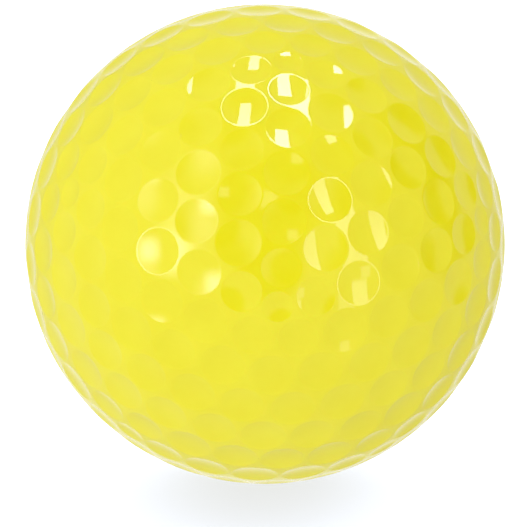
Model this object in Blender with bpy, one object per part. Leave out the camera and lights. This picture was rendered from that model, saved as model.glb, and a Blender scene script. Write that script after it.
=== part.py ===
"""Golf ball: a solid rubber core, a mantle of two half cups and a dimpled cover of two half shells.

Units are metres, +Z is up, -Y is the front, and the origin is the centre of the ball.
The cover has 362 round dimples in an icosahedral pattern. Each dimple has a cell of its own,
and the parting line between the two cover halves runs along the borders of the cells,
so it never crosses a dimple.
"""
from math import acos, atan, atan2, cos, degrees, pi, radians, sin, sqrt, tau

import bmesh
import bpy
from mathutils import Matrix, Vector

# Driving dimensions
BALL_DIAMETER = 0.04267
COVER_WALL = 0.0012
MANTLE_WALL = 0.0012
LAYER_GAP = 0.0003
# The land that the parting line follows is only 0.25 mm wide at its narrowest.
PARTING_GAP = 0.00015

BALL_RADIUS = BALL_DIAMETER / 2
COVER_INSIDE = BALL_RADIUS - COVER_WALL
MANTLE_OUTSIDE = COVER_INSIDE - LAYER_GAP
MANTLE_INSIDE = MANTLE_OUTSIDE - MANTLE_WALL
CORE_RADIUS = MANTLE_INSIDE - LAYER_GAP

# How the ball lies: its pole dimple faces the front, turned about Z and then rolled about the pole
POLE_TURN = radians(3.0)
POLE_ROLL = radians(-4.7)

# The dimple pattern, built round each of the 12 five-fold points of an icosahedron.
# Each row gives degrees out from the point, degrees round it from an edge, and the rim's angular radius.
EDGE_MIDDLE = degrees(atan(2)) / 2
FACE_MIDDLE = degrees(acos(sqrt((5 + 2 * sqrt(5)) / 15)))
FIVE_FOLD = 5
SECTOR = 360 / FIVE_FOLD
FIVE_FOLD_RIM = 3.6
DIMPLE_ROWS = (
    (9.25, 0, 4.8),
    (20.1, 0, 5.3),
    (EDGE_MIDDLE, 0, 5.5),
    (17.7, SECTOR / 2, 5.45),
    (28.0, SECTOR / 2 - 12.9, 5.25),
    (28.0, SECTOR / 2 + 12.9, 5.25),
    (FACE_MIDDLE, SECTOR / 2, 5.5),
)
# Slope of a dimple's wall at its rim, which sets the depth of each size
WALL_SLOPE = radians(9.5)

# Centres closer than this are the same dimple, and centres within reach are neighbours.
SAME_DIMPLE = radians(1)
NEIGHBOUR_REACH = radians(14.5)
# Dimples this near the equator are dealt to the two halves in turn, one run for each icosahedron face.
EQUATOR_BAND = radians(4)
EQUATOR_RUN = radians(SECTOR / 2)

# Facets of the smooth layers
MANTLE_SIDES = 32
MANTLE_RINGS = 8
CORE_SUBDIVISIONS = 4
MERGE_DISTANCE = 1e-6
SHARP_ANGLE = radians(40)

# Colour and roughness
COVER_FINISH = ((0.87, 0.80, 0.02, 1), 0.15)
MANTLE_FINISH = ((0.80, 0.78, 0.70, 1), 0.45)
CORE_FINISH = ((0.10, 0.28, 0.45, 1), 0.70)


def clear_scene():
    for item in list(bpy.data.objects):
        bpy.data.objects.remove(item)


def make_material(name, finish):
    colour, roughness = finish
    material = bpy.data.materials.new(name)
    material.use_nodes = True
    shader = material.node_tree.nodes["Principled BSDF"]
    shader.inputs["Base Color"].default_value = colour
    shader.inputs["Roughness"].default_value = roughness
    shader.inputs["Metallic"].default_value = 0
    return material


def add_piece(name, bm, material):
    """Turn a bmesh into a smooth-shaded object of its own."""
    bmesh.ops.recalc_face_normals(bm, faces=bm.faces)
    mesh = bpy.data.meshes.new(name)
    bm.to_mesh(mesh)
    bm.free()
    mesh.shade_smooth()
    mesh.set_sharp_from_angle(angle=SHARP_ANGLE)
    mesh.materials.append(material)
    piece = bpy.data.objects.new(name, mesh)
    bpy.context.scene.collection.objects.link(piece)
    return piece


def direction(from_pole, azimuth):
    """Unit vector at two angles, in radians, in a frame whose pole is +Z."""
    return Vector((sin(from_pole) * cos(azimuth), sin(from_pole) * sin(azimuth), cos(from_pole)))


def frame_at(point, towards):
    """Rotation that takes +Z to a point on the unit sphere and +X towards another one."""
    side = (towards - point * towards.dot(point)).normalized()
    return Matrix((side, point.cross(side), point)).transposed()


def icosahedron_points():
    """The 12 five-fold points, with one at +Z and one of its neighbours towards +X."""
    ring = atan(2)
    points = [Vector((0, 0, 1)), Vector((0, 0, -1))]
    for step in range(FIVE_FOLD):
        azimuth = step * radians(SECTOR)
        points.append(direction(ring, azimuth))
        points.append(direction(pi - ring, azimuth + pi / FIVE_FOLD))
    return points


def dimple_centres():
    """Each dimple's centre on the unit sphere, with its rim's radius in radians."""
    corners = icosahedron_points()
    dimples = [(corner, radians(FIVE_FOLD_RIM)) for corner in corners]
    for corner in corners:
        neighbour = max((other for other in corners if other is not corner), key=corner.dot)
        frame = frame_at(corner, neighbour)
        for step in range(FIVE_FOLD):
            for out, around, rim in DIMPLE_ROWS:
                point = frame @ direction(radians(out), radians(around + step * SECTOR))
                if all(point.angle(centre) > SAME_DIMPLE for centre, _ in dimples):
                    dimples.append((point, radians(rim)))
    return dimples


def on_front_half(centre):
    """Whether a dimple, given in the pattern's own frame, belongs to the half round the +Z pole."""
    latitude = pi / 2 - centre.angle(Vector((0, 0, 1)))
    if abs(latitude) > EQUATOR_BAND:
        return latitude > 0
    longitude = atan2(centre.y, centre.x) % tau
    return int(longitude / EQUATOR_RUN) % 2 == 0


class Cell:
    """One dimple and the land round it, out to the borders with its neighbours."""

    def __init__(self, index, dimples):
        self.centre, self.rim = dimples[index]
        self.front = on_front_half(self.centre)
        near = []
        for other, (centre, _) in enumerate(dimples):
            if other != index and self.centre.angle(centre) < NEIGHBOUR_REACH:
                near.append(other)
        self.frame = frame_at(self.centre, dimples[near[0]][0])
        near.sort(key=lambda other: self.azimuth(dimples[other][0]))
        self.neighbours = near
        self.corners = []
        for number, other in enumerate(near):
            following = near[(number + 1) % len(near)]
            self.corners.append(frozenset((index, other, following)))

    def azimuth(self, point):
        local = self.frame.transposed() @ point
        return atan2(local.y, local.x) % tau

    def at(self, from_centre, azimuth):
        return self.frame @ direction(from_centre, azimuth)


def corner_point(key, dimples):
    """Where three cells meet: the point where their borders, the planes between the rims, cross."""
    first, second, third = (dimples[index][0] / cos(dimples[index][1]) for index in sorted(key))
    point = (first - second).cross(second - third).normalized()
    return point if point.dot(first) > 0 else -point


def parted(point, key, cells, front):
    """Move a corner on the parting line back into its own half, so that its borders move by half the gap.

    Three borders meet at a corner, 120 degrees apart, so each moves sin(60 degrees) times as far as it.
    """
    own = [cells[index] for index in sorted(key) if cells[index].front == front]
    if len(own) == len(key):
        return point
    back = Vector((0, 0, 0))
    for cell in own:
        back += (cell.centre - point * cell.centre.dot(point)).normalized()
    move = PARTING_GAP / 2 / sin(pi / len(key))
    return (point + back.normalized() * move / BALL_RADIUS).normalized()


def dimple_floor(rim):
    """Distance from the ball's centre to the bottom of a dimple."""
    chord = BALL_RADIUS * sin(rim)
    wall_radius = chord / sin(WALL_SLOPE)
    return BALL_RADIUS * cos(rim) - wall_radius * (1 - cos(WALL_SLOPE))


def cover_half(name, front, dimples, cells, material):
    """One half shell of the cover: faceted dimples outside, a plain wall inside, the parting line between."""
    bm = bmesh.new()
    outer = {}
    inner = {}
    own_cells = [cell for cell in cells if cell.front == front]
    for cell in own_cells:
        for key in cell.corners:
            if key not in outer:
                point = parted(corner_point(key, dimples), key, cells, front)
                outer[key] = bm.verts.new(point * BALL_RADIUS)
                inner[key] = bm.verts.new(point * COVER_INSIDE)
    for cell in own_cells:
        add_dimple(bm, cell, [outer[key] for key in cell.corners])
        bm.faces.new([inner[key] for key in reversed(cell.corners)])
        for number, key in enumerate(cell.corners):
            before = cell.corners[number - 1]
            if cells[cell.neighbours[number]].front != front:
                bm.faces.new((outer[key], outer[before], inner[before], inner[key]))
    bmesh.ops.triangulate(bm, faces=bm.faces)
    return add_piece(name, bm, material)


def add_dimple(bm, cell, border):
    """A faceted dish with two rim points for each corner of its cell, and the land out to the border."""
    sides = len(border)
    floor = bm.verts.new(cell.centre * dimple_floor(cell.rim))
    rim = []
    for number in range(sides):
        start = cell.azimuth(border[number].co)
        end = cell.azimuth(border[(number + 1) % sides].co)
        middle = start + (end - start) % tau / 2
        rim.append(bm.verts.new(cell.at(cell.rim, start) * BALL_RADIUS))
        rim.append(bm.verts.new(cell.at(cell.rim, middle) * BALL_RADIUS))
    for number, corner in enumerate(border):
        following = border[(number + 1) % sides]
        at_corner, at_middle = rim[2 * number], rim[2 * number + 1]
        at_following = rim[(2 * number + 2) % len(rim)]
        bm.faces.new((corner, following, at_middle))
        bm.faces.new((corner, at_middle, at_corner))
        bm.faces.new((following, at_following, at_middle))
        bm.faces.new((at_corner, at_middle, floor))
        bm.faces.new((at_middle, at_following, floor))


def mantle_half(name, upper, material):
    """A half cup, turned about Z, whose flat edge is half a gap from the middle plane."""
    side = 1 if upper else -1
    outside = quarter_arc(MANTLE_OUTSIDE, side)
    inside = quarter_arc(MANTLE_INSIDE, side)
    bm = bmesh.new()
    profile = [bm.verts.new(point) for point in outside + inside[::-1]]
    edges = [bm.edges.new(pair) for pair in zip(profile, profile[1:])]
    turn = {"cent": (0, 0, 0), "axis": (0, 0, 1), "angle": tau, "steps": MANTLE_SIDES}
    bmesh.ops.spin(bm, geom=profile + edges, use_merge=True, **turn)
    bmesh.ops.remove_doubles(bm, verts=bm.verts, dist=MERGE_DISTANCE)
    bmesh.ops.triangulate(bm, faces=bm.faces)
    return add_piece(name, bm, material)


def quarter_arc(radius, side):
    """Points in the XZ plane from the pole above (side 1) or below (side -1) to the cup's flat edge."""
    lowest = LAYER_GAP / 2 / radius
    points = []
    for ring in range(MANTLE_RINGS + 1):
        from_pole = (pi / 2 - lowest) * ring / MANTLE_RINGS
        points.append((radius * sin(from_pole), 0, side * radius * cos(from_pole)))
    return points


def core_ball(name, material):
    bm = bmesh.new()
    bmesh.ops.create_icosphere(bm, subdivisions=CORE_SUBDIVISIONS, radius=CORE_RADIUS)
    return add_piece(name, bm, material)


def pattern_to_ball():
    """Rotation from the pattern's frame, pole at +Z, to the way the ball lies, pole to the front."""
    pole_to_front = Matrix(((0, -1, 0), (0, 0, -1), (1, 0, 0)))
    turn = Matrix.Rotation(POLE_TURN, 3, "Z")
    roll = Matrix.Rotation(POLE_ROLL, 3, "Z")
    return (turn @ pole_to_front @ roll).to_4x4()


def build():
    clear_scene()
    cover_material = make_material("cover_ionomer", COVER_FINISH)
    mantle_material = make_material("mantle_ionomer", MANTLE_FINISH)
    core_material = make_material("core_rubber", CORE_FINISH)
    dimples = dimple_centres()
    cells = [Cell(index, dimples) for index in range(len(dimples))]
    for name, front in (("cover_half_front", True), ("cover_half_back", False)):
        half = cover_half(name, front, dimples, cells, cover_material)
        half.matrix_world = pattern_to_ball()
    mantle_half("mantle_half_upper", True, mantle_material)
    mantle_half("mantle_half_lower", False, mantle_material)
    core_ball("core", core_material)


build()
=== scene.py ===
"""Looks of the golf ball: a finely dimpled glossy cover round the CAD mantle and core, on a pale floor.

Units are metres, +Z is up and the camera looks along +Y. The dimple pattern repeats the CAD part's,
and everything that has a size starts from the CAD model's own box.
"""

from math import acos, atan, atan2, cos, degrees, pi, radians, sin, sqrt, tan, tau

import bpy
from mathutils import Matrix, Vector


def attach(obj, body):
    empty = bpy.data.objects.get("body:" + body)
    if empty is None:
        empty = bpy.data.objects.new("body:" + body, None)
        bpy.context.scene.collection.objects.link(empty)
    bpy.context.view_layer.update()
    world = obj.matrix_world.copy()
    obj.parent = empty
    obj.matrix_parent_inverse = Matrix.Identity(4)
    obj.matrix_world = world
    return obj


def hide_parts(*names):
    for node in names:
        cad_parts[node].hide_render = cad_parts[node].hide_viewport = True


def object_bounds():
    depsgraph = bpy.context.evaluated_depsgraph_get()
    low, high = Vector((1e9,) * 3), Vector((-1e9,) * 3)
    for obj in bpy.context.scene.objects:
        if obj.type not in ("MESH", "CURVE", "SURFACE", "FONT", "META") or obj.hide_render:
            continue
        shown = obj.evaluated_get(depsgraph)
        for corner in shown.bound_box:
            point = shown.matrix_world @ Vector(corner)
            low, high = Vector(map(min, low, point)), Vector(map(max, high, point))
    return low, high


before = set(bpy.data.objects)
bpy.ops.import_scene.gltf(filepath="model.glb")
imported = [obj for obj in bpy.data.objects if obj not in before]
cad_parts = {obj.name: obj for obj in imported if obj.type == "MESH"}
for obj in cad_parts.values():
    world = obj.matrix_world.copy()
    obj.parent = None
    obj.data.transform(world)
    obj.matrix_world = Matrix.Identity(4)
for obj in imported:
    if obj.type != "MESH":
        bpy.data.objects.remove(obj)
cad_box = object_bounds()

# The ball's size, from the CAD box
BALL_RADIUS = max(high - low for low, high in zip(*cad_box)) / 2
COVER_WALL = 0.0012

# The dimple pattern and how it lies, as in the CAD part, in degrees
POLE_TURN = radians(3.0)
POLE_ROLL = radians(-4.7)
EDGE_MIDDLE = degrees(atan(2)) / 2
FACE_MIDDLE = degrees(acos(sqrt((5 + 2 * sqrt(5)) / 15)))
FIVE_FOLD = 5
SECTOR = 360 / FIVE_FOLD
FIVE_FOLD_RIM = 3.6
DIMPLE_ROWS = (
    (9.25, 0, 4.8),
    (20.1, 0, 5.3),
    (EDGE_MIDDLE, 0, 5.5),
    (17.7, SECTOR / 2, 5.45),
    (28.0, SECTOR / 2 - 12.9, 5.25),
    (28.0, SECTOR / 2 + 12.9, 5.25),
    (FACE_MIDDLE, SECTOR / 2, 5.5),
)
SAME_DIMPLE = radians(1)
NEIGHBOUR_REACH = radians(14.5)
EQUATOR_BAND = radians(4)
EQUATOR_RUN = radians(SECTOR / 2)

# A dimple's section: a hollow arc up to this slope, then a rounded rim of this radius
WALL_SLOPE = radians(9.5)
RIM_ROUNDING = 0.0009
HOLLOW_RINGS = 6
RIM_RINGS = 4
BORDER_STEPS = 8

# The finishes: colours as linear red, green and blue, and lengths in metres. A patch, mark, speck or
# grain is the size of the noise's blotches, and reach is how far light wanders inside the material.
TONE_STOPS = (0.3, 0.7)
COVER_TONES = ((0.86, 0.783, 0.008), (0.89, 0.818, 0.014))
COVER_MOTTLE = 0.0035
COVER_ROUGHNESS = (0.30, 0.42)
COVER_ROUGHNESS_PATCH = 0.0008
COVER_TRANSLUCENCY = 0.25
COVER_REACH = 0.0004
COVER_REACH_BY_COLOUR = (1.0, 0.7, 0.1)
COAT_IOR = 1.5
COAT_ROUGHNESS = (0.015, 0.04)
COAT_ROUGHNESS_PATCH = 0.002
PEEL_GRAIN = 0.0007
PEEL_DEPTH = 0.0000012
WAVE_GRAIN = 0.0016
WAVE_DEPTH = 0.000004
MANTLE_TONES = ((0.74, 0.72, 0.64), (0.82, 0.80, 0.72))
MANTLE_FLOW_MARK = 0.006
MANTLE_ROUGHNESS = (0.38, 0.5)
MANTLE_ROUGHNESS_PATCH = 0.001
MANTLE_GRAIN = 0.0005
MANTLE_GRAIN_DEPTH = 0.000005
MANTLE_TRANSLUCENCY = 0.3
MANTLE_REACH = 0.0006
MANTLE_REACH_BY_COLOUR = (1, 0.9, 0.8)
CORE_TONES = ((0.07, 0.22, 0.38), (0.12, 0.31, 0.49))
CORE_SPECK = 0.0006
CORE_ROUGHNESS = (0.6, 0.8)
CORE_ROUGHNESS_PATCH = 0.0015
CORE_GRAIN = 0.0003
CORE_GRAIN_DEPTH = 0.00002

# The view: elevation of the camera, its distance and the ball's share of the picture's width
CAMERA_ELEVATION = radians(15)
CAMERA_DISTANCE = 0.8
BALL_SHARE = 0.91
AIM_BELOW_CENTRE = 0.0018
AIM_LEFT = 0.00013
SENSOR_WIDTH = 36
NEAREST_SEEN = 0.01

# The light: places as azimuth and elevation in degrees, and radiance with 1 as white
KEY_PLACE = (-127, 23.5)
KEY_IRRADIANCE = 3.32
FILL_PLACE = (53, -23.5)
FILL_IRRADIANCE = 2.25
WHITE = (1, 1, 1)
WARM_FILL = (1, 0.955, 0.9)
HALF_SKY = radians(180)
TENT_BRIGHT_PLACE = (-110, -20)
TENT_WHITE = 1.0
TENT_DIM = 0.7
# The tent dims away from its bright place, and within the angle that has this cosine it is fully white
TENT_WHITE_FROM = 0.3
TENT_PATCHES = (
    # azimuth, elevation, radius of the even middle, radius of the whole patch, and factor on the light
    (-88, 3, 11, 19, 0.2),
    (-86, 32, 14, 32, 0.25),
    (-45, 52, 8, 26, 0.5),
    (-140, 74, 8, 20, 0.65),
    (-100, 62, 8, 24, 0.7),
    (-10, 15, 12, 40, 0.8),
    (11, -2, 4, 14, 0.25),
    (15, 12, 4, 14, 0.2),
    (17, 26, 4, 14, 0.2),
    (14, 40, 4, 14, 0.25),
    (125, 5, 10, 40, 0.72),
    (80, -38, 10, 60, 0.72),
    (90, -15, 8, 40, 1.8),
)
CARD_DISTANCE = 2
SOFTBOXES = (
    # name, azimuth, elevation, width, height, roll, lean, all in degrees, then radiance, the share of it
    # left at the foot, and the share of the size that the faded edge takes up
    ("top_left_strip", 157, 82, 7.4, 27, -7, 0, 9, 1, 0.04),
    ("top_right_strip", -6, 77.5, 9.5, 28, 8, 0, 13, 1, 0.04),
    ("right_strip", -47.8, 23.7, 11.4, 59.7, 23.4, 36, 4.8, 0.5, 0.06),
    ("right_strip_foot", -51, -14.8, 9.3, 10.4, -6, 0, 1.4, 1, 0.15),
    ("left_panel", -134, 23, 37, 62, -3, 0, 1.7, 1, 0.45),
    ("left_window", -135, 6.5, 28, 27, 2.6, 0, 5.5, 1, 0.45),
    ("front_window", -88, 36, 12, 12, 0, 0, 1.6, 1, 0.3),
)
TABLE_SIZE = 6
TABLE_COLOUR = (0.05, 0.055, 0.07)
TABLE_DARK_TONE = 0.97
TABLE_MOTTLE = 0.03
TABLE_ROUGHNESS = 0.6
TABLE_GLOW = (0.788, 0.8, 0.808)
TABLE_SKY = 0.69
TABLE_SKY_PLACE = (85, 20)
TABLE_SKY_ANGLE = radians(150)
# Share of this sky's light that falls on a level table, as the rest comes from too low
TABLE_SKY_SHARE = 0.45


def direction(from_pole, azimuth):
    """Unit vector at two angles, in radians, in a frame whose pole is +Z."""
    return Vector((sin(from_pole) * cos(azimuth), sin(from_pole) * sin(azimuth), cos(from_pole)))


def frame_at(point, towards):
    """Rotation that takes +Z to a point on the unit sphere and +X towards another one."""
    side = (towards - point * towards.dot(point)).normalized()
    return Matrix((side, point.cross(side), point)).transposed()


# The dimple pattern ------------------------------------------------------------------------------


def icosahedron_points():
    """The 12 five-fold points, with one at +Z and one of its neighbours towards +X."""
    ring = atan(2)
    points = [Vector((0, 0, 1)), Vector((0, 0, -1))]
    for step in range(FIVE_FOLD):
        azimuth = step * radians(SECTOR)
        points.append(direction(ring, azimuth))
        points.append(direction(pi - ring, azimuth + pi / FIVE_FOLD))
    return points


def dimple_centres():
    """Each dimple's centre on the unit sphere, with its rim's radius in radians."""
    corners = icosahedron_points()
    dimples = [(corner, radians(FIVE_FOLD_RIM)) for corner in corners]
    for corner in corners:
        neighbour = max((other for other in corners if other is not corner), key=corner.dot)
        around_corner = frame_at(corner, neighbour)
        for step in range(FIVE_FOLD):
            for out, around, rim in DIMPLE_ROWS:
                point = around_corner @ direction(radians(out), radians(around + step * SECTOR))
                if all(point.angle(centre) > SAME_DIMPLE for centre, _ in dimples):
                    dimples.append((point, radians(rim)))
    return dimples


def on_front_half(centre):
    """Whether a dimple, given in the pattern's own frame, belongs to the half round the +Z pole."""
    latitude = pi / 2 - centre.angle(Vector((0, 0, 1)))
    if abs(latitude) > EQUATOR_BAND:
        return latitude > 0
    longitude = atan2(centre.y, centre.x) % tau
    return int(longitude / EQUATOR_RUN) % 2 == 0


class Cell:
    """One dimple and the land round it, out to the borders with its neighbours."""

    def __init__(self, index, dimples):
        self.centre, self.rim = dimples[index]
        self.front = on_front_half(self.centre)
        near = []
        for other, (centre, _) in enumerate(dimples):
            if other != index and self.centre.angle(centre) < NEIGHBOUR_REACH:
                near.append(other)
        self.frame = frame_at(self.centre, dimples[near[0]][0])
        near.sort(key=lambda other: self.azimuth(dimples[other][0]))
        self.neighbours = near
        self.corners = []
        for number, other in enumerate(near):
            following = near[(number + 1) % len(near)]
            self.corners.append(frozenset((index, other, following)))

    def azimuth(self, point):
        local = self.frame.transposed() @ point
        return atan2(local.y, local.x) % tau

    def turned(self, out, up, azimuth):
        """A point or a direction of the dimple's section, turned round the dimple's axis."""
        return self.frame @ Vector((out * cos(azimuth), out * sin(azimuth), up))


def corner_point(key, dimples):
    """Where three cells meet: the point where their borders, the planes between the rims, cross."""
    first, second, third = (dimples[index][0] / cos(dimples[index][1]) for index in sorted(key))
    point = (first - second).cross(second - third).normalized()
    return point if point.dot(first) > 0 else -point


def pattern_to_ball():
    """Rotation from the pattern's frame, pole at +Z, to the way the ball lies, pole to the front."""
    pole_to_front = Matrix(((0, -1, 0), (0, 0, -1), (1, 0, 0)))
    turn = Matrix.Rotation(POLE_TURN, 3, "Z")
    roll = Matrix.Rotation(POLE_ROLL, 3, "Z")
    return turn @ pole_to_front @ roll


# The cover ---------------------------------------------------------------------------------------


def dimple_section(rim):
    """Points and outward normals, as (out, up) pairs, from beside the dimple's axis to the end of its rim.

    The hollow is an arc. The rim is an arc too, tangent to the hollow and to the ball.
    """
    chord = BALL_RADIUS * sin(rim)
    hollow_radius = chord / sin(WALL_SLOPE)
    hollow_centre = BALL_RADIUS * cos(rim) + hollow_radius * cos(WALL_SLOPE)
    to_ball = BALL_RADIUS - RIM_ROUNDING
    to_hollow = hollow_radius + RIM_ROUNDING
    rim_up = (hollow_centre ** 2 + to_ball ** 2 - to_hollow ** 2) / (2 * hollow_centre)
    rim_out = sqrt(to_ball ** 2 - rim_up ** 2)
    slope = atan2(rim_out, hollow_centre - rim_up)
    outer = atan2(rim_out, rim_up)
    section = []
    for ring in range(1, HOLLOW_RINGS + 1):
        angle = slope * ring / HOLLOW_RINGS
        point = (hollow_radius * sin(angle), hollow_centre - hollow_radius * cos(angle))
        section.append((point, (-sin(angle), cos(angle))))
    for ring in range(1, RIM_RINGS + 1):
        angle = -slope + (outer + slope) * ring / RIM_RINGS
        normal = (sin(angle), cos(angle))
        point = (rim_out + RIM_ROUNDING * normal[0], rim_up + RIM_ROUNDING * normal[1])
        section.append((point, normal))
    return section, hollow_centre - hollow_radius


class Shell:
    """Collects a half shell's points, and its faces with a normal for each of their corners."""

    def __init__(self):
        self.points = []
        self.faces = []
        self.normals = []

    def point(self, place):
        self.points.append(place)
        return len(self.points) - 1

    def face(self, corners, normals):
        self.faces.append(corners)
        self.normals.extend(normals)

    def to_object(self, name, rotation):
        mesh = bpy.data.meshes.new(name)
        mesh.from_pydata([rotation @ point for point in self.points], [], self.faces)
        mesh.shade_smooth()
        mesh.normals_split_custom_set([rotation @ normal for normal in self.normals])
        piece = bpy.data.objects.new(name, mesh)
        bpy.context.scene.collection.objects.link(piece)
        return piece


def border_points(start, end):
    """Points on the unit sphere from one corner of a cell up to the next, without the last."""
    return [start.slerp(end, step / BORDER_STEPS) for step in range(BORDER_STEPS)]


def cover_half(name, front, dimples, cells):
    """One half shell: fine dimples outside, a plain wall inside, and the parting line between."""
    shell = Shell()
    corners = {}
    outer = {}
    inner = {}
    for cell in cells:
        if cell.front != front:
            continue
        for key in cell.corners:
            if key not in corners:
                corners[key] = corner_point(key, dimples)
                inner[key] = shell.point(corners[key] * (BALL_RADIUS - COVER_WALL))
        border = []
        for number, key in enumerate(cell.corners):
            before = cell.corners[number - 1]
            border.extend(border_indices(shell, outer, corners, before, key))
        add_dimple(shell, cell, border)
        add_inside(shell, cell, inner)
        for number, key in enumerate(cell.corners):
            if cells[cell.neighbours[number]].front != front:
                start = number * BORDER_STEPS
                edge = [border[(start + step) % len(border)] for step in range(BORDER_STEPS + 1)]
                add_parting_wall(shell, edge, inner[cell.corners[number - 1]], inner[key])
    return shell.to_object(name, pattern_to_ball())


def border_indices(shell, outer, corners, start, end):
    """The shell's points along one side of a cell, shared with the cell on the other side."""
    if (start, end) not in outer:
        places = border_points(corners[start], corners[end])
        indices = []
        for step, place in enumerate(places):
            if step == 0:
                if start not in outer:
                    outer[start] = shell.point(place * BALL_RADIUS)
                indices.append(outer[start])
            else:
                indices.append(shell.point(place * BALL_RADIUS))
        if end not in outer:
            outer[end] = shell.point(corners[end] * BALL_RADIUS)
        outer[start, end] = indices
        outer[end, start] = [outer[end]] + indices[:0:-1]
    return outer[start, end]


def add_dimple(shell, cell, border):
    """Rings of points from the middle of the dimple out to the cell's border, joined by faces."""
    section, floor = dimple_section(cell.rim)
    azimuths = [cell.azimuth(shell.points[index]) for index in border]
    land = [shell.points[index].normalized() for index in border]
    middle = shell.point(cell.centre * floor)
    rings = []
    for (out, up), (normal_out, normal_up) in section:
        points = [shell.point(cell.turned(out, up, azimuth)) for azimuth in azimuths]
        normals = [cell.turned(normal_out, normal_up, azimuth) for azimuth in azimuths]
        rings.append((points, normals))
    rings.append((border, land))
    points, normals = rings[0]
    for number, index in enumerate(points):
        before = points[number - 1]
        shell.face((middle, before, index), (cell.centre, normals[number - 1], normals[number]))
    for (low, low_normals), (high, high_normals) in zip(rings, rings[1:]):
        for number in range(len(border)):
            corners = (low[number - 1], high[number - 1], high[number], low[number])
            normals = (low_normals[number - 1], high_normals[number - 1])
            normals += (high_normals[number], low_normals[number])
            shell.face(corners, normals)


def add_inside(shell, cell, inner):
    """The cell's share of the wall inside the cover, as a fan of triangles that faces the mantle."""
    middle = shell.point(cell.centre * (BALL_RADIUS - COVER_WALL))
    for number, key in enumerate(cell.corners):
        corners = (middle, inner[key], inner[cell.corners[number - 1]])
        shell.face(corners, [-shell.points[index].normalized() for index in corners])


def add_parting_wall(shell, edge, inner_start, inner_end):
    """The flat wall between one border of a cell and the inside, where the two half shells meet."""
    corners = [*edge[::-1], inner_start, inner_end]
    first = shell.points[edge[0]]
    last = shell.points[edge[-1]]
    normal = last.cross(first).normalized()
    shell.face(corners, [normal] * len(corners))


# Materials ---------------------------------------------------------------------------------------


def new_material(name):
    """A node material, with its nodes and its links."""
    material = bpy.data.materials.new(name)
    material.use_nodes = True
    return material, material.node_tree.nodes, material.node_tree.links


def noise(nodes, links, size, detail=2.0, roughness=0.5):
    """Noise whose blotches are about this size, in metres, in the object's own space."""
    place = nodes.new("ShaderNodeTexCoord")
    texture = nodes.new("ShaderNodeTexNoise")
    texture.inputs["Scale"].default_value = 1 / size
    texture.inputs["Detail"].default_value = detail
    texture.inputs["Roughness"].default_value = roughness
    links.new(place.outputs["Object"], texture.inputs["Vector"])
    return texture.outputs["Fac"]


def tones(nodes, links, value, colours):
    """Mix of two colours that changes over the middle of a 0..1 value."""
    node = nodes.new("ShaderNodeValToRGB")
    for element, position, colour in zip(node.color_ramp.elements, TONE_STOPS, colours):
        element.position = position
        element.color = (*colour, 1)
    links.new(value, node.inputs["Fac"])
    return node.outputs["Color"]


def ranged(nodes, links, value, low, high):
    """Map a value from 0..1 to low..high."""
    node = nodes.new("ShaderNodeMapRange")
    node.inputs["To Min"].default_value = low
    node.inputs["To Max"].default_value = high
    links.new(value, node.inputs["Value"])
    return node.outputs["Result"]


def bump(nodes, links, height, depth, under=None):
    """Bump from a 0..1 height, this many metres deep."""
    node = nodes.new("ShaderNodeBump")
    node.inputs["Strength"].default_value = 1
    node.inputs["Distance"].default_value = depth
    links.new(height, node.inputs["Height"])
    if under is not None:
        links.new(under, node.inputs["Normal"])
    return node.outputs["Normal"]


def cover_material():
    """Pigmented ionomer, slightly translucent, under a glossy clear coat with faint orange peel."""
    material, nodes, links = new_material("yellow_cover")
    shader = nodes["Principled BSDF"]
    mottle = noise(nodes, links, COVER_MOTTLE, detail=4, roughness=0.6)
    links.new(tones(nodes, links, mottle, COVER_TONES), shader.inputs["Base Color"])
    gloss = ranged(nodes, links, noise(nodes, links, COVER_ROUGHNESS_PATCH), *COVER_ROUGHNESS)
    links.new(gloss, shader.inputs["Roughness"])
    shader.inputs["Subsurface Weight"].default_value = COVER_TRANSLUCENCY
    shader.inputs["Subsurface Radius"].default_value = COVER_REACH_BY_COLOUR
    shader.inputs["Subsurface Scale"].default_value = COVER_REACH
    shader.inputs["Specular IOR Level"].default_value = 0
    shader.inputs["Coat Weight"].default_value = 1
    shader.inputs["Coat IOR"].default_value = COAT_IOR
    haze = ranged(nodes, links, noise(nodes, links, COAT_ROUGHNESS_PATCH), *COAT_ROUGHNESS)
    links.new(haze, shader.inputs["Coat Roughness"])
    peel = bump(nodes, links, noise(nodes, links, PEEL_GRAIN, detail=1), PEEL_DEPTH)
    waves = bump(nodes, links, noise(nodes, links, WAVE_GRAIN, detail=1), WAVE_DEPTH, under=peel)
    links.new(waves, shader.inputs["Coat Normal"])
    links.new(peel, shader.inputs["Normal"])
    return material


def mantle_material():
    """Milky ionomer, as moulded: satin, with faint flow marks."""
    material, nodes, links = new_material("milky_mantle")
    shader = nodes["Principled BSDF"]
    flow = noise(nodes, links, MANTLE_FLOW_MARK, detail=3, roughness=0.6)
    links.new(tones(nodes, links, flow, MANTLE_TONES), shader.inputs["Base Color"])
    satin = ranged(nodes, links, noise(nodes, links, MANTLE_ROUGHNESS_PATCH), *MANTLE_ROUGHNESS)
    links.new(satin, shader.inputs["Roughness"])
    grain = bump(nodes, links, noise(nodes, links, MANTLE_GRAIN), MANTLE_GRAIN_DEPTH)
    links.new(grain, shader.inputs["Normal"])
    shader.inputs["Subsurface Weight"].default_value = MANTLE_TRANSLUCENCY
    shader.inputs["Subsurface Radius"].default_value = MANTLE_REACH_BY_COLOUR
    shader.inputs["Subsurface Scale"].default_value = MANTLE_REACH
    return material


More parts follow.
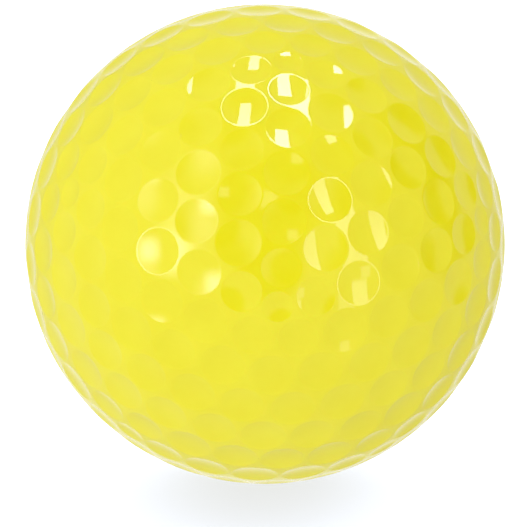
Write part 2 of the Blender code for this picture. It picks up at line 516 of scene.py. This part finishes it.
def core_material():
    """Cured rubber with fine fillers, ground matt."""
    material, nodes, links = new_material("rubber_core")
    shader = nodes["Principled BSDF"]
    specks = noise(nodes, links, CORE_SPECK, detail=6, roughness=0.7)
    links.new(tones(nodes, links, specks, CORE_TONES), shader.inputs["Base Color"])
    matt = ranged(nodes, links, noise(nodes, links, CORE_ROUGHNESS_PATCH), *CORE_ROUGHNESS)
    links.new(matt, shader.inputs["Roughness"])
    grain = bump(nodes, links, noise(nodes, links, CORE_GRAIN, detail=4), CORE_GRAIN_DEPTH)
    links.new(grain, shader.inputs["Normal"])
    return material


def table_material():
    """White acrylic sheet that glows from below."""
    material, nodes, links = new_material("glowing_table")
    shader = nodes["Principled BSDF"]
    dark = [TABLE_DARK_TONE * value for value in TABLE_COLOUR]
    mottle = noise(nodes, links, TABLE_MOTTLE)
    links.new(tones(nodes, links, mottle, (dark, TABLE_COLOUR)), shader.inputs["Base Color"])
    shader.inputs["Roughness"].default_value = TABLE_ROUGHNESS
    shader.inputs["Specular IOR Level"].default_value = 0
    shader.inputs["Emission Color"].default_value = (*TABLE_GLOW, 1)
    shader.inputs["Emission Strength"].default_value = 1
    return material


# The studio --------------------------------------------------------------------------------------


def light_direction(azimuth, elevation):
    """Unit vector from the ball towards a light, azimuth from +X towards +Y, both in degrees."""
    return direction(radians(90 - elevation), radians(azimuth))


def rectangle(name, half_width, half_depth, height, material):
    """A flat sheet round the origin's upright axis, at this height."""
    corners = [(-half_width, -half_depth, height), (half_width, -half_depth, height)]
    corners += [(half_width, half_depth, height), (-half_width, half_depth, height)]
    mesh = bpy.data.meshes.new(name)
    mesh.from_pydata(corners, [], [(0, 1, 2, 3)])
    mesh.materials.append(material)
    sheet = bpy.data.objects.new(name, mesh)
    bpy.context.scene.collection.objects.link(sheet)
    return sheet


def softbox(name, azimuth, elevation, width, height, roll, lean, radiance, foot, edge):
    """A glowing card that only reflections see. Width and height are the angles it fills before it leans."""
    aim = light_direction(azimuth, elevation)
    across = Vector((1, 0, 0))
    across = (across - aim * aim.dot(across)).normalized()
    axes = Matrix((across, aim.cross(across), aim)).transposed()
    axes @= Matrix.Rotation(radians(roll), 3, "Z") @ Matrix.Rotation(radians(lean), 3, "X")
    half_width = CARD_DISTANCE * tan(radians(width / 2))
    half_height = CARD_DISTANCE * tan(radians(height / 2))
    card = rectangle(name, half_width, half_height, 0, card_material(name, radiance, foot, edge))
    card.matrix_world = Matrix.Translation(aim * CARD_DISTANCE) @ axes.to_4x4()
    card.visible_camera = False
    card.visible_diffuse = False
    card.visible_shadow = False


def card_material(name, radiance, foot, edge):
    """Light that weakens towards the foot and fades out at the edges, with the tent seen through it."""
    material, nodes, links = new_material(name + "_light")
    nodes.clear()
    place = nodes.new("ShaderNodeTexCoord")
    split = nodes.new("ShaderNodeSeparateXYZ")
    links.new(place.outputs["Generated"], split.inputs["Vector"])
    across, along = split.outputs["X"], split.outputs["Y"]
    strength = soft_step(nodes, links, along, 0, 1, radiance * foot, radiance)
    for value in (across, along):
        for start, end in ((0, edge), (1, 1 - edge)):
            fade = soft_step(nodes, links, value, start, end, 0, 1)
            strength = times(nodes, links, strength, fade)
    emission = nodes.new("ShaderNodeEmission")
    clear = nodes.new("ShaderNodeBsdfTransparent")
    both = nodes.new("ShaderNodeAddShader")
    output = nodes.new("ShaderNodeOutputMaterial")
    links.new(strength, emission.inputs["Strength"])
    links.new(emission.outputs["Emission"], both.inputs[0])
    links.new(clear.outputs["BSDF"], both.inputs[1])
    links.new(both.outputs["Shader"], output.inputs["Surface"])
    return material


def times(nodes, links, first, second):
    """Product of two values."""
    product = nodes.new("ShaderNodeMath")
    product.operation = "MULTIPLY"
    links.new(first, product.inputs[0])
    links.new(second, product.inputs[1])
    return product.outputs["Value"]


def sun(name, place, angle, irradiance):
    """Light from a round part of the sky, this wide, with the irradiance that a surface facing it gets."""
    data = bpy.data.lights.new(name, "SUN")
    data.angle = angle
    data.energy = irradiance
    lamp = bpy.data.objects.new(name, data)
    bpy.context.scene.collection.objects.link(lamp)
    lamp.rotation_euler = (-light_direction(*place)).to_track_quat("-Z", "Y").to_euler()
    return lamp


def half_sky(name, place, irradiance, colour):
    """Light from a whole half of the sky, for matt surfaces only. Two opposite ones shade very softly."""
    lamp = sun(name, place, HALF_SKY, irradiance)
    lamp.data.color = colour
    lamp.visible_glossy = False


def table_light(table):
    """Overcast sky that lights only the table top, and so makes the ball's shadow on it."""
    irradiance = pi * TABLE_SKY / TABLE_COLOUR[1] / TABLE_SKY_SHARE
    lamp = sun("table_sky", TABLE_SKY_PLACE, TABLE_SKY_ANGLE, irradiance)
    receivers = bpy.data.collections.new("lit_by_table_sky")
    receivers.objects.link(table)
    lamp.light_linking.receiver_collection = receivers


def towards(nodes, links, place):
    """How far the world's direction points at a place on the sky, from -1 to 1."""
    way = nodes.new("ShaderNodeTexCoord")
    product = nodes.new("ShaderNodeVectorMath")
    product.operation = "DOT_PRODUCT"
    product.inputs[1].default_value = light_direction(*place)
    links.new(way.outputs["Generated"], product.inputs[0])
    return product.outputs["Value"]


def soft_step(nodes, links, value, start, end, low, high):
    """Smooth change from low to high as the value goes from start to end."""
    node = nodes.new("ShaderNodeMapRange")
    node.interpolation_type = "SMOOTHSTEP"
    node.inputs["From Min"].default_value = start
    node.inputs["From Max"].default_value = end
    node.inputs["To Min"].default_value = low
    node.inputs["To Max"].default_value = high
    links.new(value, node.inputs["Value"])
    return node.outputs["Result"]


def light_tent():
    """A tent for reflections: white, dimmer behind on the right, and darker or brighter in patches."""
    world = bpy.data.worlds.new("light_tent")
    bpy.context.scene.world = world
    world.use_nodes = True
    nodes = world.node_tree.nodes
    links = world.node_tree.links
    bright = towards(nodes, links, TENT_BRIGHT_PLACE)
    level = soft_step(nodes, links, bright, -1, TENT_WHITE_FROM, TENT_DIM, TENT_WHITE)
    for azimuth, elevation, inside, outside, factor in TENT_PATCHES:
        aim = towards(nodes, links, (azimuth, elevation))
        patch = soft_step(nodes, links, aim, cos(radians(outside)), cos(radians(inside)), 1, factor)
        level = times(nodes, links, level, patch)
    links.new(level, nodes["Background"].inputs["Strength"])
    nodes["Background"].inputs["Color"].default_value = (*WHITE, 1)
    world.cycles_visibility.diffuse = False


def table_top():
    """A light table: it glows, and the sky's light on it brings the shadow out."""
    half_size = TABLE_SIZE / 2
    table = rectangle("table_top", half_size, half_size, cad_box[0][2], table_material())
    table.visible_diffuse = False
    table.visible_glossy = False
    table.visible_shadow = False
    return table


def place_camera():
    """A long lens at the front, raised by the camera's elevation, aimed just under the ball's centre."""
    data = bpy.data.cameras.new("camera")
    data.sensor_width = SENSOR_WIDTH
    seen_width = 2 * BALL_RADIUS / BALL_SHARE
    data.lens = SENSOR_WIDTH * CAMERA_DISTANCE / seen_width
    data.clip_start = NEAREST_SEEN
    camera = bpy.data.objects.new("camera", data)
    bpy.context.scene.collection.objects.link(camera)
    aim = Vector((-AIM_LEFT, 0, -AIM_BELOW_CENTRE))
    camera.location = aim + Vector((0, -cos(CAMERA_ELEVATION), sin(CAMERA_ELEVATION))) * CAMERA_DISTANCE
    camera.rotation_euler = (aim - camera.location).to_track_quat("-Z", "Y").to_euler()
    bpy.context.scene.camera = camera


def build_cover():
    """Both halves of the cover, each in place of its CAD node."""
    dimples = dimple_centres()
    cells = [Cell(index, dimples) for index in range(len(dimples))]
    material = cover_material()
    for name, front, node in (
        ("dimpled_cover_front", True, "cover_half_front"),
        ("dimpled_cover_back", False, "cover_half_back"),
    ):
        half = cover_half(name, front, dimples, cells)
        half.data.materials.append(material)
        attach(half, "root")
        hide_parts(node)


def refinish(node, material):
    """Give a CAD node its finished material."""
    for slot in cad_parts[node].material_slots:
        slot.material = material


def build():
    build_cover()
    mantle = mantle_material()
    refinish("mantle_half_upper", mantle)
    refinish("mantle_half_lower", mantle)
    refinish("core", core_material())
    table_light(table_top())
    light_tent()
    half_sky("key", KEY_PLACE, KEY_IRRADIANCE, WHITE)
    half_sky("fill", FILL_PLACE, FILL_IRRADIANCE, WARM_FILL)
    for settings in SOFTBOXES:
        softbox(*settings)
    place_camera()
    bpy.context.scene.view_settings.view_transform = "Standard"


build()
